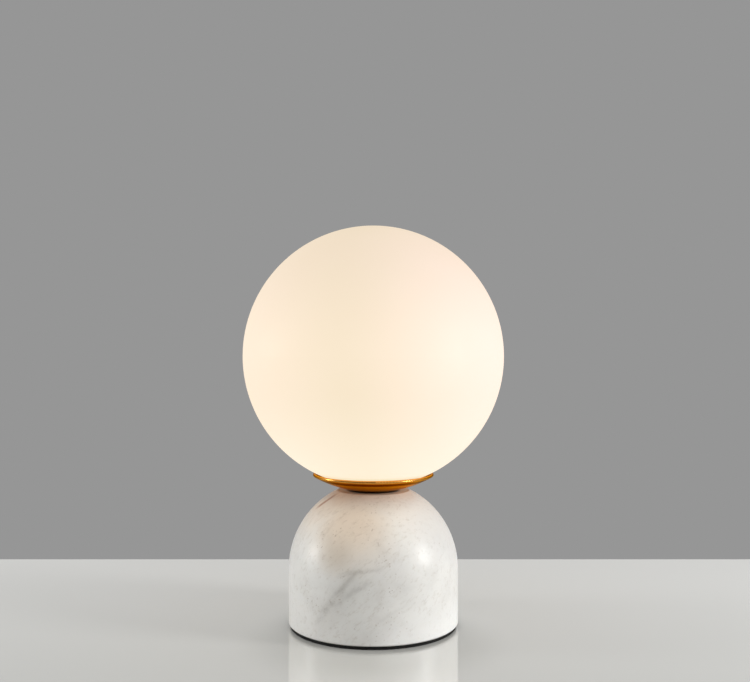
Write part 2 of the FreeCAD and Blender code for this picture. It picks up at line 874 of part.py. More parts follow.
def centre_contact():
    """A folded spring strip under the bulb's tip."""
    strip = "boss_top + spring_thickness"
    body = doc.addObject("PartDesign::Body", "Strip")
    drawing = sketch(
        body,
        [
            ("spring_length / 2", "boss_top"),
            ("spring_length / 2", "boss_top + spring_heel_height"),
            ("spring_arch_start", "boss_top + spring_rise"),
            ("-spring_arch_end", "boss_top + spring_rise"),
            ("-spring_arch_end", "boss_top + spring_rise - spring_thickness"),
            ("spring_arch_start", "boss_top + spring_rise - spring_thickness"),
            ("spring_length / 2 - spring_thickness", strip),
            ("-spring_length / 2", strip),
            ("-spring_length / 2", "boss_top"),
        ],
    )
    pad = body.newObject("PartDesign::Pad", "Pad")
    pad.Profile = drawing
    pad.SideType = "Symmetric"
    pad.setExpression("Length", bound("spring_width"))
    return body


def terminal_sides():
    return ((-1, "y"), (1, "-y"))


def holder_terminals():
    """Two brass terminals under the insert, each with a wire hole from below and a tapped side hole."""
    terminals = []
    for side, inward in terminal_sides():
        y = f"{side} * terminal_distance"
        body = block("terminal_width", "terminal_depth", "terminal_height", y=y, z="terminal_bottom")
        wire_hole = cylinder("wire_radius + wire_fit", "terminal_hole_depth", y=y, z="terminal_bottom")
        tap = cylinder(
            "terminal_screw_radius + terminal_screw_fit",
            "terminal_depth / 2",
            y=f"{side} * (terminal_distance + terminal_depth / 2)",
            z="terminal_bottom + terminal_height / 2",
            along=inward,
        )
        terminals.append(cut(body, wire_hole, tap))
    return group(terminals)


def holder_terminal_screws():
    screws = []
    for side, inward in terminal_sides():
        z = "terminal_bottom + terminal_height / 2"
        face = "terminal_distance + terminal_depth / 2"
        shank = cylinder(
            "terminal_screw_radius",
            "terminal_depth / 2 - wire_radius - 2 * wire_fit",
            y=f"{side} * ({face})",
            z=z,
            along=inward,
        )
        head = cylinder(
            "terminal_screw_head_radius",
            "terminal_screw_head_height",
            y=f"{side} * ({face} + terminal_screw_head_height)",
            z=z,
            along=inward,
        )
        screws.append(fuse(shank, head))
    return group(screws)


# ---------------------------------------------------------------- wires
def holder_wire(label, side, pole):
    """From a pole of the block, up the tube, to a terminal of the lampholder."""
    inside_pole = "-block_distance - pole_sleeve_inset - wire_entry"
    corner_top = "tube_top + wire_radius"
    return routed_wire(
        label,
        [
            (inside_pole, pole, "pole_height"),
            ("-block_distance + wire_bend", pole, "pole_height"),
            ("0", f"{side} * wire_offset", "pole_height"),
            ("0", f"{side} * wire_offset", corner_top),
            ("0", f"{side} * terminal_distance", "terminal_bottom - wire_bend / 2"),
            ("0", f"{side} * terminal_distance", "terminal_bottom + terminal_height / 2"),
        ],
        number("wire_bend"),
    )


def wire_live():
    return holder_wire("wire_live", 1, "pole_pitch")


def wire_neutral():
    return holder_wire("wire_neutral", -1, "0")


def wire_earth():
    """From the block's third pole to the earth lug."""
    barrel_height = "plate_bottom - lug_barrel_radius"
    barrel_end = "-lug_y + lug_width + lug_barrel_length"
    return routed_wire(
        "wire_earth",
        [
            ("-block_distance - pole_sleeve_inset - wire_entry", "-pole_pitch", "pole_height"),
            ("-block_distance + wire_bend", "-pole_pitch", "pole_height"),
            ("-lug_x", "-pole_pitch", "(pole_height + plate_bottom) / 2 - lug_barrel_radius"),
            ("-lug_x", f"({barrel_end} - pole_pitch) / 2", barrel_height),
            ("-lug_x", f"{barrel_end} - wire_entry", barrel_height),
        ],
        number("wire_bend"),
    )


# ---------------------------------------------------------------- bulb
def bulb_tip_contact():
    return cylinder("tip_radius", "tip_height", z="tip_bottom")


def bulb_insulator():
    """A cone of dark glass between the tip and the screw cap."""
    return cone("tip_radius", "bulb_cap_radius - thread_depth", "insulator_height", z="tip_top")


def bulb_screw_cap():
    """A thin shell; its rolled thread is drawn as rings of the same pitch and depth."""
    valley = "bulb_cap_radius - thread_depth"
    crest = "bulb_cap_radius"
    outline = [(f"{valley} - bulb_cap_wall", "insulator_top"), (valley, "insulator_top")]
    for quarter in range(4 * THREAD_TURNS):
        radius = crest if quarter % 4 in (1, 2) else valley
        outline.append((radius, f"insulator_top + thread_pitch * {quarter + 1} / 4"))
    outline.append((valley, "bulb_cap_top"))
    outline.append((f"{valley} - bulb_cap_wall", "bulb_cap_top"))
    return turned(outline)


def bulb_housing():
    """The bulb's plastic body: a spigot inside the screw cap, a flare, and a seat for the board."""
    board_bottom = "housing_top - board_thickness"
    return turned(
        [
            ("spigot_radius", "bulb_cap_top - spigot_length"),
            ("spigot_radius", "bulb_cap_top"),
            ("housing_neck_radius", "bulb_cap_top"),
            ("housing_neck_radius", "bulb_cap_top + housing_wall"),
            ("housing_top_radius", "housing_top", "housing_flare_radius", "ccw"),
            ("housing_top_radius - housing_wall", "housing_top"),
            ("housing_top_radius - housing_wall", board_bottom),
            ("housing_top_radius - 2 * housing_wall", board_bottom),
            ("spigot_radius - housing_wall", "bulb_cap_top + housing_wall"),
            ("spigot_radius - housing_wall", "bulb_cap_top - spigot_length"),
        ]
    )


def led_board():
    return cylinder("board_radius", "board_thickness", z="housing_top - board_thickness")


def bulb_diffuser():
    """The bulb's round cover, open below where it stands on the housing."""
    inner_edge = "sqrt(diffuser_inner_radius^2 - (bulb_centre - housing_top)^2)"
    return turned(
        [
            ("housing_top_radius", "housing_top"),
            ("bulb_radius", "bulb_centre", "bulb_radius", "ccw"),
            ("0", "bulb_centre + bulb_radius", "bulb_radius", "ccw"),
            ("0", "bulb_centre + diffuser_inner_radius"),
            ("diffuser_inner_radius", "bulb_centre", "diffuser_inner_radius", "cw"),
            (inner_edge, "housing_top", "diffuser_inner_radius", "cw"),
        ]
    )


# ---------------------------------------------------------------- build and write
PIECES = (
    marble_base,
    foot_pad,
    bottom_cover,
    cover_screws,
    cover_anchors,
    cord_bushing,
    cord_grip_block,
    cord_grip_bar,
    cord_grip_screws,
    chassis_plate,
    terminal_block,
    terminal_sleeves,
    terminal_screws,
    block_screw,
    earth_lug,
    earth_screw,
    threaded_tube,
    lower_washer,
    lower_nut,
    upper_washer,
    upper_nut,
    brass_cup,
    locating_collar,
    globe_gasket,
    glass_globe_lower,
    glass_globe_upper,
    holder_cap,
    holder_insert,
    holder_shell,
    contact_sleeve,
    centre_contact,
    holder_terminals,
    holder_terminal_screws,
    wire_live,
    wire_neutral,
    wire_earth,
    bulb_tip_contact,
    bulb_insulator,
    bulb_screw_cap,
    bulb_housing,
    led_board,
    bulb_diffuser,
)


def main():
    built = {}
    for make in PIECES:
        piece = make()
        piece.Label = make.__name__
        built[make.__name__] = piece
    doc.recompute()
    failed = [thing.Label for thing in doc.Objects if {"Invalid", "Error"} & set(thing.State)]
    if failed:
        raise RuntimeError("failed: " + ", ".join(failed))
    os.makedirs("parts", exist_ok=True)
    for name, piece in built.items():
        shape = piece.Shape
        if shape.isNull() or not shape.isValid() or shape.Volume <= 0 or not shape.Solids:
            raise RuntimeError(name + " has no valid solid")
        shape.exportStep(os.path.join("parts", name + ".step"))
        print(f"{name}: solids {len(shape.Solids)}, volume {shape.Volume:.1f}")


main()
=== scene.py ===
"""A lit glass globe table lamp on a pale glossy table: looks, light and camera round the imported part.

Lengths are in metres. The origin is the centre of the foot on the table, +Z is up, and the camera
looks along +Y. Noise scales are in cells per metre.
"""

import math

import bpy
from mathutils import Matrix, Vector


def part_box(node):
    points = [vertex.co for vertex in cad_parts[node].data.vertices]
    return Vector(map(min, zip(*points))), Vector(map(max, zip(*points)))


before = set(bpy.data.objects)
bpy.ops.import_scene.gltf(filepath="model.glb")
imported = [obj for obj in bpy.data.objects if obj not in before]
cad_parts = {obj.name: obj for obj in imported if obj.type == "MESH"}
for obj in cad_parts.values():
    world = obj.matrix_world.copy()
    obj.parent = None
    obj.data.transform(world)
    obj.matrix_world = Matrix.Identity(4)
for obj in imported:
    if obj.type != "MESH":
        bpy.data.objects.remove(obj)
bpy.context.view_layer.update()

# Places that the looks are worked out from.
CUP_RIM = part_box("brass_cup")[1].x
STONE_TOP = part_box("marble_base")[1].z
GLOBE_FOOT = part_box("glass_globe_lower")[0].z
GLOBE_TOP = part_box("glass_globe_upper")[1].z
BULB_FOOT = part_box("bulb_diffuser")[0].z
BULB_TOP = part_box("bulb_diffuser")[1].z

BLACK = (0.0, 0.0, 0.0, 1.0)
WHITE = (1.0, 1.0, 1.0, 1.0)


def rgb(red, green, blue):
    """A display colour, 0 to 255, as the linear colour that shaders take."""

    def linear(value):
        value /= 255
        return value / 12.92 if value <= 0.04045 else ((value + 0.055) / 1.055) ** 2.4

    return (linear(red), linear(green), linear(blue), 1.0)


# ------------------------------------------------------------------ node helpers
class Nodes:
    """Short ways to add nodes to a tree. A value is a number, a colour or another node's socket."""

    def __init__(self, tree):
        self.tree = tree
        self.place = tree.nodes.new("ShaderNodeTexCoord").outputs["Object"]

    def feed(self, socket, value):
        """Links a socket to another node, or sets it."""
        if isinstance(value, bpy.types.NodeSocket):
            self.tree.links.new(value, socket)
        else:
            socket.default_value = value

    def node(self, kind, out=0, fields=(), **inputs):
        """A node's output. An input goes by its socket's name, or by i and its number."""
        made = self.tree.nodes.new("ShaderNode" + kind)
        for key, value in dict(fields).items():
            setattr(made, key, value)
        for key, value in inputs.items():
            self.feed(made.inputs[int(key[1:]) if key[1:].isdigit() else key], value)
        return made.outputs[out]

    def maths(self, operation, *values):
        inputs = {f"i{i}": value for i, value in enumerate(values)}
        return self.node("Math", 0, {"operation": operation}, **inputs)

    def times(self, first, second):
        return self.maths("MULTIPLY", first, second)

    def vector(self, operation, *values, out=0):
        inputs = {f"i{i}": value for i, value in enumerate(values)}
        return self.node("VectorMath", out, {"operation": operation}, **inputs)

    def parts(self, place=None):
        """A vector's three parts; the point's own x, y and z when no vector is given."""
        made = self.tree.nodes.new("ShaderNodeSeparateXYZ")
        self.feed(made.inputs[0], place or self.place)
        return made.outputs

    def joined(self, x, y, z):
        return self.node("CombineXYZ", 0, i0=x, i1=y, i2=z)

    def length(self, x, y):
        return self.maths("SQRT", self.maths("ADD", self.times(x, x), self.times(y, y)))

    def ramp(self, value, low, high, to_low=0.0, to_high=1.0, smooth=True):
        """The value between low and high, spread over to_low to to_high and held beyond them."""
        fields = {"interpolation_type": "SMOOTHSTEP" if smooth else "LINEAR"}
        return self.node("MapRange", 0, fields, i0=value, i1=low, i2=high, i3=to_low, i4=to_high)

    def fade(self, value, full, gone):
        """1 up to full, falling to 0 at gone."""
        return self.ramp(value, full, gone, 1.0, 0.0)

    def near(self, point, full, gone):
        """1 round a point, falling to 0 at the distance gone."""
        offset = self.vector("SUBTRACT", self.place, point)
        return self.fade(self.vector("LENGTH", offset, out="Value"), full, gone)

    def noise(self, scale, detail=3.0, roughness=0.5, distortion=0.0, place=None):
        """A noise value round 0.5."""
        inputs = {"Vector": place or self.place, "Scale": scale, "Detail": detail}
        return self.node("TexNoise", "Fac", Roughness=roughness, Distortion=distortion, **inputs)

    def mix(self, share, first, second, blend="MIX"):
        """Two colours mixed by a share."""
        made = self.tree.nodes.new("ShaderNodeMix")
        made.data_type = "RGBA"
        made.blend_type = blend
        first_socket, second_socket = (socket for socket in made.inputs if socket.type == "RGBA")
        self.feed(made.inputs["Factor"], share)
        self.feed(first_socket, first)
        self.feed(second_socket, second)
        return next(socket for socket in made.outputs if socket.type == "RGBA")

    def lay(self, body, colour, share, strength):
        """A colour laid over the body, at most as strong as said."""
        return self.mix(self.times(share, strength), body, colour)

    def tint(self, body, factors, share):
        """The body multiplied by a tint, by a share."""
        return self.mix(share, body, self.mix(1.0, body, (*factors, 1.0), "MULTIPLY"))


class Surface(Nodes):
    """A material: its Principled shader and the nodes that feed it."""

    def __init__(self, name, **sockets):
        self.material = bpy.data.materials.new(name)
        self.material.use_nodes = True
        super().__init__(self.material.node_tree)
        self.shader = self.tree.nodes["Principled BSDF"]
        for key, value in sockets.items():
            self.set(key.replace("_", " ").title().replace("Ior", "IOR"), value)

    def set(self, socket, value):
        self.feed(self.shader.inputs[socket], value)

    def gloss(self, noise, low, high):
        """Roughness that wanders between two values."""
        self.set("Roughness", self.ramp(noise, 0.30, 0.70, low, high))

    def bump(self, height, distance, strength):
        self.set("Normal", self.node("Bump", 0, Strength=strength, Distance=distance, Height=height))

    def translucent(self, weight, radius, scale):
        self.set("Subsurface Weight", weight)
        self.set("Subsurface Radius", radius)
        self.set("Subsurface Scale", scale)


# ------------------------------------------------------------------ marble
# The direction that the grain runs in: up to the right, at about 40 degrees.
GRAIN = (0.77, 0.0, 0.64)
ACROSS_GRAIN = (-0.64, 0.0, 0.77)

STONE_PALE = rgb(240, 239, 235)
STONE_SHADED = rgb(230, 228, 224)
STONE_DRIFT = rgb(208, 204, 198)
STONE_STREAK = rgb(196, 188, 176)
STONE_PAINTED_LIGHT = rgb(255, 255, 253)
STONE_PAINTED_SHADE_RIGHT = rgb(206, 204, 202)
STONE_PAINTED_SHADE_LEFT = rgb(198, 182, 160)
VEIN_GREY = rgb(138, 131, 121)
HALO_GREY = rgb(180, 176, 170)
SEAM_RUST = rgb(160, 100, 50)
SPECK_RUST = rgb(142, 118, 94)
GAP_DARK = rgb(40, 26, 18)
PAINTED_GLOW_TINT = (1.0, 0.78, 0.58)

# Where the painted light and shade lie: a point with the distances where it is full and gone, or two
# heights, two distances from the axis or two places from left to right between which it comes or goes.
PAINTED_GLOW_PATCH = ((-0.016, -0.048, 0.085), 0.006, 0.046)
PAINTED_SHADE_LEFT = ((-0.028, -0.058, 0.064), 0.001, 0.019)
PAINTED_SHADE_SHOULDER = ((0.046, -0.026, 0.076), 0.008, 0.040)
PAINTED_GLOW_HEIGHTS = (STONE_TOP - 0.0413, STONE_TOP + 0.0007)
PAINTED_GLOW_SIDES = (-0.030, 0.034)
PAINTED_LIGHT_HEIGHTS = (0.006, 0.034)
PAINTED_LIGHT_SIDES = (-0.004, 0.018)
GAP_RADII = (CUP_RIM - 0.0280, CUP_RIM - 0.0247)
GAP_HEIGHTS = (STONE_TOP - 0.0018, STONE_TOP - 0.0003)

# Each vein: a point on it, its normal, which noise bends it, its half width, the scale of its fine
# waviness, how far it wanders, how far it reaches from the point, and its strength.
VEIN_FIELDS = ("point", "normal", "bend", "width", "fine_scale", "wander", "reach", "strength")
VEINS = (
    ((-0.0262, -0.0593, 0.0362), (0.83, 0.10, -0.55), "slow", 0.0036, 170.0, 0.008, 0.036, 0.36),
    ((-0.0092, -0.0633, 0.0549), (-0.20, 0.0, 0.98), "slow", 0.0028, 180.0, 0.006, 0.020, 0.34),
    ((-0.0150, -0.0610, 0.0400), (0.60, 0.0, -0.80), "drift", 0.0044, 180.0, 0.010, 0.022, 0.26),
    ((0.010, -0.0625, 0.022), (0.60, 0.0, -0.80), "drift", 0.0022, 180.0, 0.008, 0.024, 0.10),
    ((0.040, 0.040, 0.060), (0.70, 0.50, -0.50), "drift", 0.0034, 110.0, 0.014, 0.048, 0.36),
    ((-0.050, 0.030, 0.050), (0.35, 0.85, 0.40), "slow", 0.0030, 130.0, 0.012, 0.040, 0.30),
)
HALO = ((-0.0230, -0.0600, 0.0370), (0.80, 0.10, -0.58), "slow", 0.0130, 90.0, 0.012, 0.038, 0.18)
SEAM = ((-0.0356, -0.0143, 0.0969), (0.570, -0.105, -0.815), "slow", 0.0011, 200.0, 0.0010, 0.013, 0.78)

FINE_WANDER = 0.35
REACH_FULL = 0.35


def vein(s, bends, row):
    """A thin sheet of mineral through the stone, seen as a line where it meets the surface."""
    sheet = dict(zip(VEIN_FIELDS, row))
    wave = s.times(s.maths("SUBTRACT", bends[sheet["bend"]], 0.5), sheet["wander"])
    fine = s.maths("SUBTRACT", s.noise(sheet["fine_scale"], 4.0), 0.5)
    fine = s.times(fine, sheet["wander"] * FINE_WANDER)
    offset = s.vector("SUBTRACT", s.place, sheet["point"])
    across = s.vector("DOT_PRODUCT", offset, Vector(sheet["normal"]).normalized(), out="Value")
    across = s.maths("ADD", s.maths("ADD", across, wave), fine)
    line = s.fade(s.maths("ABSOLUTE", across), 0.0, sheet["width"])
    reached = s.near(sheet["point"], sheet["reach"] * REACH_FULL, sheet["reach"])
    return s.times(line, reached), sheet["strength"]


def marble():
    """Honed white stone: soft clouds, a smudged grey vein, slanting streaks and small rusty specks."""
    s = Surface("honed_marble", roughness=0.3, ior=1.50, specular_ior_level=0.24)
    x, y, z = s.parts()
    clouds = s.noise(16.0, detail=5.0, roughness=0.55, distortion=0.6)
    bends = {
        "drift": s.noise(42.0, detail=4.0, roughness=0.6, distortion=0.4),
        "slow": s.noise(24.0, detail=3.0, roughness=0.5),
    }
    body = s.mix(s.ramp(clouds, 0.42, 0.72), STONE_PALE, STONE_SHADED)
    body = s.lay(body, STONE_DRIFT, s.ramp(bends["drift"], 0.48, 0.72), 0.25)

    # streaks along the grain
    along = s.vector("DOT_PRODUCT", s.place, GRAIN, out="Value")
    across = s.vector("DOT_PRODUCT", s.place, ACROSS_GRAIN, out="Value")
    grain = s.joined(s.times(along, 0.38), y, across)
    streaks = s.noise(330.0, detail=4.0, roughness=0.72, place=grain)
    body = s.lay(body, STONE_STREAK, s.ramp(streaks, 0.50, 0.74), 0.42)

    # grey veins, broken up by the grain, with a paler halo round the main one
    broken = s.ramp(s.noise(190.0, detail=4.0, roughness=0.65, place=grain), 0.36, 0.62, 0.25, 1.0)
    for line, strength in [vein(s, bends, row) for row in VEINS]:
        body = s.lay(body, VEIN_GREY, s.times(line, broken), strength)
    line, strength = vein(s, bends, HALO)
    body = s.lay(body, HALO_GREY, line, strength)

    # a short rusty seam on the left shoulder, and rusty specks in clusters
    line, strength = vein(s, bends, SEAM)
    body = s.lay(body, SEAM_RUST, s.times(line, broken), strength)
    cluster = s.ramp(s.noise(46.0, detail=2.0), 0.46, 0.62, 0.10, 1.0)
    short_grain = s.joined(s.times(along, 0.7), y, across)
    dots = s.ramp(s.noise(620.0, detail=2.0, roughness=0.6, place=short_grain), 0.63, 0.72)
    body = s.lay(body, SPECK_RUST, s.times(dots, cluster), 0.50)

    # painted light: a beige cast of the globe's warm glow, more to the left and the top, and deepest in one
    # patch
    painted_glow_upper = s.times(s.ramp(z, *PAINTED_GLOW_HEIGHTS), s.ramp(x, *PAINTED_GLOW_SIDES, 0.56, 0.20))
    painted_glow_spot = s.times(s.near(*PAINTED_GLOW_PATCH), 0.58)
    body = s.tint(body, PAINTED_GLOW_TINT, s.maths("MAXIMUM", painted_glow_upper, painted_glow_spot))

    # painted shade: a beige-grey spot on the left, between the two side lights
    body = s.lay(body, STONE_PAINTED_SHADE_LEFT, s.near(*PAINTED_SHADE_LEFT), 0.38)
    # painted shade: a faint grey spot on the right shoulder, under the key light
    body = s.lay(body, STONE_PAINTED_SHADE_RIGHT, s.near(*PAINTED_SHADE_SHOULDER), 0.50)
    # painted light: paler stone low on the right, on the key light's side
    painted_light_low = s.times(s.fade(z, *PAINTED_LIGHT_HEIGHTS), s.ramp(x, *PAINTED_LIGHT_SIDES))
    body = s.lay(body, STONE_PAINTED_LIGHT, painted_light_low, 0.55)

    # painted shade in the narrow gap under the cup, where the photograph is nearly black
    gap = s.times(s.fade(s.length(x, y), *GAP_RADII), s.ramp(z, *GAP_HEIGHTS))
    body = s.lay(body, GAP_DARK, gap, 0.9)

    s.set("Base Color", body)
    s.gloss(s.noise(60.0), 0.29, 0.37)
    s.bump(s.noise(55.0, detail=2.0), 0.00008, 0.3)
    s.translucent(0.10, (0.006, 0.005, 0.004), 0.5)
    return s.material


# ------------------------------------------------------------------ metals
BRASS_LIGHT = rgb(232, 166, 84)
BRASS_DARK = rgb(220, 148, 66)
BRASS_EDGE = rgb(236, 190, 110)
BRASS_HOLLOW = rgb(104, 18, 1)
BRASS_LOW = rgb(255, 206, 140)

# Distances from the axis between which the hollow under the cup's bead starts, where it ends, and
# where the paler low part of the cup ends.
HOLLOW_START = (CUP_RIM - 0.0080, CUP_RIM - 0.0050)
HOLLOW_END = (CUP_RIM - 0.0027, CUP_RIM - 0.0009)
LOW_END = (CUP_RIM - 0.0250, CUP_RIM - 0.0135)
TURN_STRETCH = 0.02


def metal(name, light, dark, roughness):
    """A plated metal with uneven tone, smudged gloss and a fine grain."""
    s = Surface(name, metallic=1.0, roughness=roughness, ior=1.5)
    tone = s.ramp(s.noise(70.0, detail=4.0, roughness=0.6, distortion=0.3), 0.30, 0.72)
    s.set("Base Color", s.lay(light, dark, tone, 0.25))
    smudge = s.noise(45.0, roughness=0.6)
    grain = s.noise(700.0, detail=2.0)
    s.gloss(s.maths("ADD", s.times(smudge, 0.65), s.times(grain, 0.35)), roughness * 0.75, roughness * 1.3)
    s.bump(grain, 0.00002, 0.5)
    return s.material


def spun_brass():
    """Spun and polished brass, deep gold.

    The browner ring in the hollow under the cup's bead and the paler metal below it are painted. They
    stand for what the photograph's brass mirrors there.
    """
    s = Surface("spun_brass", metallic=1.0, roughness=0.2, ior=1.5, specular_tint=BRASS_EDGE)
    x, y, z = s.parts()
    radius = s.length(x, y)
    tone = s.ramp(s.noise(70.0, detail=4.0, roughness=0.6, distortion=0.3), 0.30, 0.72)
    body = s.lay(BRASS_LIGHT, BRASS_DARK, tone, 0.3)
    hollow = s.times(s.ramp(radius, *HOLLOW_START), s.fade(radius, *HOLLOW_END))
    body = s.lay(body, BRASS_HOLLOW, hollow, 0.95)
    body = s.lay(body, BRASS_LOW, s.fade(radius, *LOW_END), 0.75)
    s.set("Base Color", body)

    # fine rings left by turning: noise over radius and height, hardly changing round the axis
    turn = s.times(s.maths("ARCTAN2", y, x), TURN_STRETCH)
    rings = s.noise(1500.0, detail=3.0, roughness=0.6, place=s.joined(radius, turn, z))
    s.gloss(rings, 0.20, 0.27)
    s.bump(rings, 0.000006, 0.4)
    return s.material


# ------------------------------------------------------------------ plastics, rubber, ceramics
PLASTIC_SHADE = 0.82


def plastic(name, colour, roughness, grain=1400.0, depth=0.00003, coat=0.0, soft=0.0):
    """A moulded surface: fine grain, slightly uneven tone and gloss."""
    s = Surface(name, roughness=roughness, ior=1.47)
    shaded = (*(part * PLASTIC_SHADE for part in colour[:3]), 1.0)
    s.set("Base Color", s.lay(colour, shaded, s.ramp(s.noise(60.0, roughness=0.55), 0.35, 0.70), 0.5))
    s.gloss(s.noise(110.0), roughness * 0.85, min(roughness * 1.15, 1.0))
    s.bump(s.noise(grain, roughness=0.6), depth, 0.4)
    if coat:
        s.set("Coat Weight", coat)
        s.set("Coat Roughness", 0.06)
        s.set("Coat IOR", 1.5)
    if soft:
        s.translucent(soft, (0.003, 0.0028, 0.0024), 0.4)
    return s.material


def striped_insulation():
    """Green along one side of the wire, yellow along the other."""
    s = Surface("green_yellow_wire", roughness=0.38, ior=1.47)
    upward = s.parts(s.node("TexCoord", "Normal"))[2]
    side = s.maths("ADD", upward, s.times(s.maths("SUBTRACT", s.noise(160.0), 0.5), 0.12))
    s.set("Base Color", s.mix(s.ramp(side, 0.18, 0.24), rgb(222, 196, 38), rgb(44, 128, 62)))
    s.bump(s.noise(1500.0, detail=2.0), 0.00002, 0.3)
    return s.material


CHIP_COUNT = 10
CHIP_RING_RADIUS = 0.0105
CHIP_HALF_LENGTH = 0.2
CHIP_HALF_WIDTH = 0.0014


def circuit_board():
    """A white-masked aluminium board with a ring of small square yellow chips."""
    s = Surface("led_board_face", roughness=0.42, ior=1.5)
    x, y, _ = s.parts()
    turn = s.maths("FRACT", s.times(s.maths("ARCTAN2", y, x), CHIP_COUNT / (2 * math.pi)))
    along = s.maths("ABSOLUTE", s.maths("SUBTRACT", turn, 0.5))
    across = s.maths("ABSOLUTE", s.maths("SUBTRACT", s.length(x, y), CHIP_RING_RADIUS))
    in_length = s.maths("LESS_THAN", along, CHIP_HALF_LENGTH)
    chip = s.times(in_length, s.maths("LESS_THAN", across, CHIP_HALF_WIDTH))
    mask = s.mix(s.ramp(s.noise(200.0), 0.3, 0.7), rgb(236, 236, 232), rgb(224, 225, 222))
    s.set("Base Color", s.mix(chip, mask, rgb(238, 196, 66)))
    s.bump(chip, 0.0001, 0.6)
    return s.material


# ------------------------------------------------------------------ lit glass
GLOW_BODY = (0.795, 0.708, 0.462, 1.0)
GLOW_CROWN = (0.652, 0.580, 0.342, 1.0)
GLOW_FOOT = (0.848, 0.775, 0.540, 1.0)
GLOW_CLOUD = (0.97, 0.96, 0.93)
CROWN_HEIGHTS = (GLOBE_TOP - 0.1015, GLOBE_TOP - 0.0005)
FOOT_HEIGHTS = (GLOBE_FOOT + 0.0042, GLOBE_FOOT + 0.0742)
BULB_HEIGHTS = (BULB_FOOT - 0.0017, BULB_TOP)


def opal_globe():
    """Satin opal glass, lit from inside: warm cream all over, dimmer towards the crown.

    The colour under the glow is darker and more violet than white glass, so that the room's light and
    the glow add up to the photograph's cream. It suits the lit lamp alone: an unlit globe needs a
    nearly white base colour.
    """
    s = Surface("satin_opal_glass", roughness=0.6, ior=1.40)
    _, _, z = s.parts()
    cloud = s.ramp(s.noise(9.0, detail=2.0, roughness=0.4), 0.30, 0.72)
    glow = s.mix(s.ramp(z, *CROWN_HEIGHTS), GLOW_BODY, GLOW_CROWN)
    glow = s.mix(s.fade(z, *FOOT_HEIGHTS), glow, GLOW_FOOT)
    glow = s.tint(glow, GLOW_CLOUD, s.times(cloud, 0.5))
    s.set("Base Color", s.mix(cloud, rgb(149, 123, 151), rgb(146, 120, 147)))
    s.set("Emission Color", glow)
    s.set("Emission Strength", 1.0)
    s.gloss(s.noise(40.0), 0.58, 0.66)
    s.bump(s.noise(2600.0, detail=2.0), 0.00001, 0.3)
    return s.material


def opal_bulb():
    """The bulb's cover, lit, and brighter towards its top."""
    s = Surface("lit_bulb_cover", roughness=0.36, ior=1.48)
    _, _, z = s.parts()
    s.set("Base Color", s.mix(s.noise(60.0), rgb(242, 240, 234), rgb(234, 231, 222)))
    s.set("Emission Color", s.mix(s.ramp(z, *BULB_HEIGHTS), rgb(255, 222, 168), rgb(255, 240, 214)))
    s.set("Emission Strength", 0.65)
    s.bump(s.noise(2000.0, detail=2.0), 0.00001, 0.3)
    return s.material


# ------------------------------------------------------------------ every slot's material
FINISHES = {
    "marble": marble(),
    "foot_foam": plastic("black_foot_foam", rgb(22, 21, 20), 0.86, grain=2600.0, depth=0.00012),
    "brass": spun_brass(),
    "opal_glass": opal_globe(),
    "silicone": plastic("clear_silicone", rgb(214, 212, 205), 0.45, soft=0.2),
    "zinc_steel": metal("zinc_plated_steel", rgb(196, 200, 204), rgb(158, 164, 172), 0.30),
    "contact_brass": metal("contact_brass", rgb(214, 176, 104), rgb(184, 142, 80), 0.28),
    "black_plastic": plastic("black_phenolic", rgb(26, 25, 25), 0.42),
    "natural_nylon": plastic("natural_nylon", rgb(228, 222, 200), 0.46, soft=0.2),
    "porcelain": plastic("glazed_porcelain", rgb(236, 233, 224), 0.22, coat=0.8),
    "brown_insulation": plastic("brown_wire", rgb(98, 58, 34), 0.38),
    "blue_insulation": plastic("blue_wire", rgb(40, 92, 168), 0.38),
    "green_yellow_insulation": striped_insulation(),
    "nickel": metal("nickelled_brass", rgb(214, 208, 198), rgb(178, 170, 158), 0.22),
    "dark_glass": plastic("dark_glass_ring", rgb(20, 18, 22), 0.10, coat=0.9),
    "white_plastic": plastic("white_bulb_housing", rgb(234, 233, 229), 0.36),
    "board_aluminium": circuit_board(),
    "bulb_diffuser": opal_bulb(),
}
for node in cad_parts.values():
    for holder in node.material_slots:
        holder.material = FINISHES[holder.material.name.split(".")[0]]


# ------------------------------------------------------------------ table
TABLE_BACK = 0.221
TABLE_FRONT = -0.90
TABLE_HALF = 0.95
TABLE_DEPTH = 0.03
TABLE_POLISH = 0.36
POLISH_ROUGHNESS = 0.03
TABLE_FAR_COLOUR = rgb(232, 232, 229)
TABLE_NEAR_COLOUR = rgb(209, 210, 206)
NEAR_COLOUR_FROM = -0.35
SHADE_TINT = (0.60, 0.59, 0.57)
SHADE_FORWARD = 0.042
SHADE_FULL = 0.052
SHADE_GONE = 0.105
SHADE_STRENGTH = 0.45


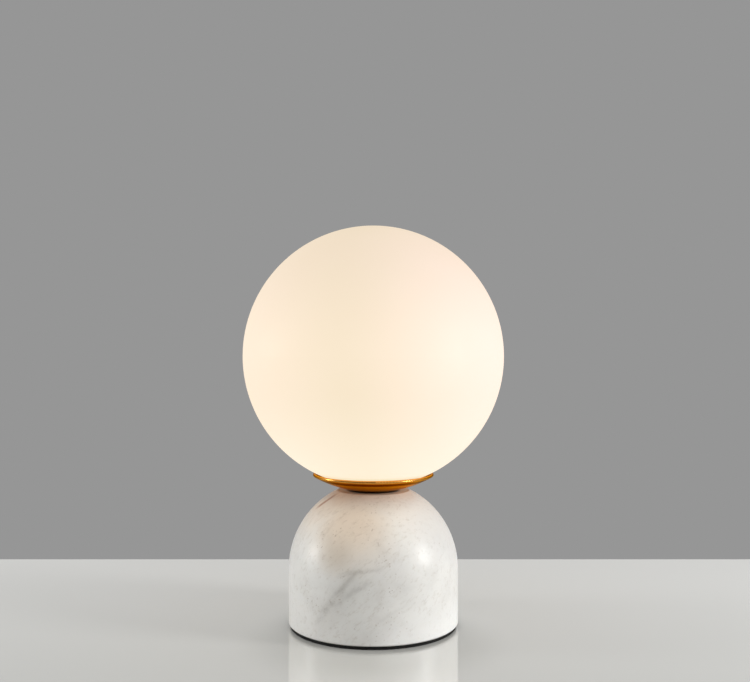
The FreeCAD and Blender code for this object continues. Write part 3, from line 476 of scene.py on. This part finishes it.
def table_top():
    """A thick pale glossy board under the lamp, its rear edge behind it."""
    low = (-TABLE_HALF, TABLE_FRONT, -TABLE_DEPTH)
    high = (TABLE_HALF, TABLE_BACK, 0.0)
    corners = [(x, y, z) for z in (low[2], high[2]) for y in (low[1], high[1]) for x in (low[0], high[0])]
    faces = [(0, 2, 3, 1), (4, 5, 7, 6), (0, 1, 5, 4), (2, 6, 7, 3), (0, 4, 6, 2), (1, 3, 7, 5)]
    mesh = bpy.data.meshes.new("table_top")
    mesh.from_pydata(corners, [], faces)
    table = bpy.data.objects.new("table_top", mesh)
    bpy.context.scene.collection.objects.link(table)

    # painted shade on the board round the foot, a little in front of it
    s = Surface("glossy_table", roughness=0.55)
    x, y, _ = s.parts()
    # painted light: the board is paler towards the back and deeper towards the front
    body = s.mix(s.ramp(y, TABLE_BACK, NEAR_COLOUR_FROM), TABLE_FAR_COLOUR, TABLE_NEAR_COLOUR)
    from_foot = s.length(x, s.maths("ADD", y, SHADE_FORWARD))
    body = s.tint(body, SHADE_TINT, s.times(s.fade(from_foot, SHADE_FULL, SHADE_GONE), SHADE_STRENGTH))
    s.set("Base Color", body)
    s.set("Specular IOR Level", 0.0)

    # the polish mirrors the same share from every side
    polish = s.node("BsdfAnisotropic", 0, Color=WHITE, Roughness=POLISH_ROUGHNESS)
    both = s.node("MixShader", 0, i0=TABLE_POLISH, i1=s.shader.outputs[0], i2=polish)
    s.feed(s.tree.nodes["Material Output"].inputs["Surface"], both)
    mesh.materials.append(s.material)
    return table


table = table_top()

# ------------------------------------------------------------------ room
WALL_GREY = rgb(150, 150, 150)
ROOM_DARK = rgb(60, 58, 56)
HORIZON_LIGHT = 0.28
ZENITH_LIGHT = 1.0
# What surfaces mirror goes from the dark room to the wall between these front-to-back parts of a direction.
DARK_UP_TO = -0.30
WALL_FROM = 0.05


def room_world():
    """An even grey wall for the camera, a grey wall and a dark room for mirrors, a soft sky as light."""
    world = bpy.data.worlds.new("room")
    bpy.context.scene.world = world
    world.use_nodes = True
    room = Nodes(world.node_tree)
    _, toward_wall, upward = room.parts(room.node("TexCoord", "Generated"))
    level = room.ramp(upward, 0.0, 1.0, HORIZON_LIGHT, ZENITH_LIGHT, smooth=False)
    sky = room.mix(level, BLACK, WHITE)
    mirrored = room.mix(room.ramp(toward_wall, DARK_UP_TO, WALL_FROM), ROOM_DARK, WALL_GREY)
    is_glossy = room.node("LightPath", "Is Glossy Ray")
    is_mirror = room.maths("MAXIMUM", is_glossy, room.node("LightPath", "Is Transmission Ray"))
    unseen = room.mix(is_mirror, sky, mirrored)
    shown = room.mix(room.node("LightPath", "Is Camera Ray"), unseen, WALL_GREY)
    room.feed(room.tree.nodes["Background"].inputs["Color"], shown)


room_world()

# ------------------------------------------------------------------ lights
AIM = Vector((0.0, 0.0, 0.06))
SOFTBOX_WIDTH = 0.28
SOFTBOX_HEIGHT = 0.32


def table_group(name, state):
    """The set of things that a lamp lights: the table alone, or everything but the table."""
    group = bpy.data.collections.new(name)
    group.objects.link(table)
    group.collection_objects[0].light_linking.link_state = state
    return group


GROUPS = {"lamp": table_group("all_but_table", "EXCLUDE"), "table": table_group("table_only", "INCLUDE")}


def softbox(name, place, powers):
    """A light for the lamp and its twin for the table, which the table's polish doesn't mirror.

    The two have powers of their own.
    """
    for use, group in GROUPS.items():
        light = bpy.data.lights.new(f"{name}_{use}", "AREA")
        light.shape = "RECTANGLE"
        light.size = SOFTBOX_WIDTH
        light.size_y = SOFTBOX_HEIGHT
        light.energy = powers[use]
        box = bpy.data.objects.new(light.name, light)
        box.location = place
        box.rotation_euler = (AIM - Vector(place)).to_track_quat("-Z", "Y").to_euler()
        box.visible_camera = False
        box.visible_glossy = use == "lamp"
        box.light_linking.receiver_collection = group
        bpy.context.scene.collection.objects.link(box)


softbox("key_right", place=(1.106, -0.349, 0.36), powers={"lamp": 7.8, "table": 7.4})
softbox("fill_left", place=(-1.178, 0.0, 0.29), powers={"lamp": 4.0, "table": 4.25})

# ------------------------------------------------------------------ camera
FOCAL_PIXELS = 945.883
IMAGE_WIDTH = 750
SENSOR_WIDTH = 36.0
CAMERA_PLACE = (0.0013, -0.7308, 0.21366)
CAMERA_TILT = 0.006

camera_data = bpy.data.cameras.new("camera")
camera_data.sensor_width = SENSOR_WIDTH
camera_data.lens = FOCAL_PIXELS * SENSOR_WIDTH / IMAGE_WIDTH
camera = bpy.data.objects.new("camera", camera_data)
camera.location = CAMERA_PLACE
camera.rotation_euler = (math.pi / 2 + CAMERA_TILT, 0.0, 0.0)
bpy.context.scene.collection.objects.link(camera)
bpy.context.scene.camera = camera

bpy.context.scene.view_settings.view_transform = "Standard"
